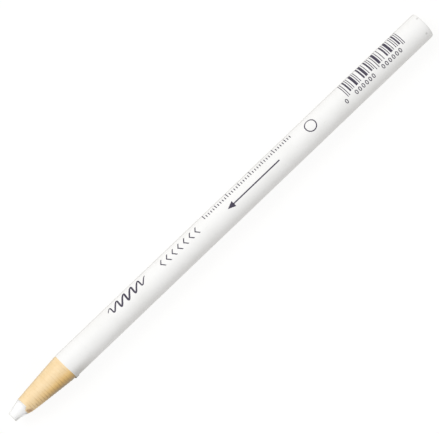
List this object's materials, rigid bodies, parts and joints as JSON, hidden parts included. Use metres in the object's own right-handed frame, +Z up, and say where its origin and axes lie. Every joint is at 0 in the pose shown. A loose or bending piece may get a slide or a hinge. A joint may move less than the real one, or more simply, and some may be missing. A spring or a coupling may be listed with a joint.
{
  "type": "china marker",
  "caption": "Peel-off china marker: a white wax core in slit bands of wound paper under a white wrapper, with a pull string that frees the front band.",
  "frame": {"origin": "on the surface that the marker lies on, under the middle of its length", "axes": "+X along the marker from tip to tail, +Z up, the pull string on the -Y side"},
  "size_m": [0.178, 0.0097, 0.0094],
  "materials": {
    "wax": "satin",
    "kraft_paper": "matte",
    "wrapper_paper": "satin",
    "thread": "matte"
  },
  "bodies": {
    "marker": {"wax_core": "wax", "peel_band_02": "kraft_paper", "peel_band_03": "kraft_paper", "peel_band_04": "kraft_paper", "peel_band_05": "kraft_paper", "peel_band_06": "kraft_paper", "peel_band_07": "kraft_paper", "peel_band_08": "kraft_paper", "peel_band_09": "kraft_paper", "peel_band_10": "kraft_paper", "peel_band_11": "kraft_paper", "peel_band_12": "kraft_paper", "peel_band_13": "kraft_paper", "peel_band_14": "kraft_paper", "peel_band_15": "kraft_paper", "peel_band_16": "kraft_paper", "peel_band_17": "kraft_paper", "peel_band_18": "kraft_paper", "tail_roll": "kraft_paper", "outer_wrapper": "wrapper_paper", "pull_string": "thread"},
    "front_band": {"peel_band_01": "kraft_paper", "wrapper_front_strip": "wrapper_paper"},
    "string_end": {"string_end": "thread"}
  },
  "joints": [
    {"name": "band_peel", "type": "slide", "parent": "marker", "child": "front_band", "axis": [-1, 0, 0], "range_m": [0, 0.034]},
    {"name": "string_pull", "type": "hinge", "parent": "marker", "child": "string_end", "pos_m": [-0.05805, -0.0043, 0.0047], "axis": [0, 0, 1], "range_deg": [0, 135]}
  ]
}
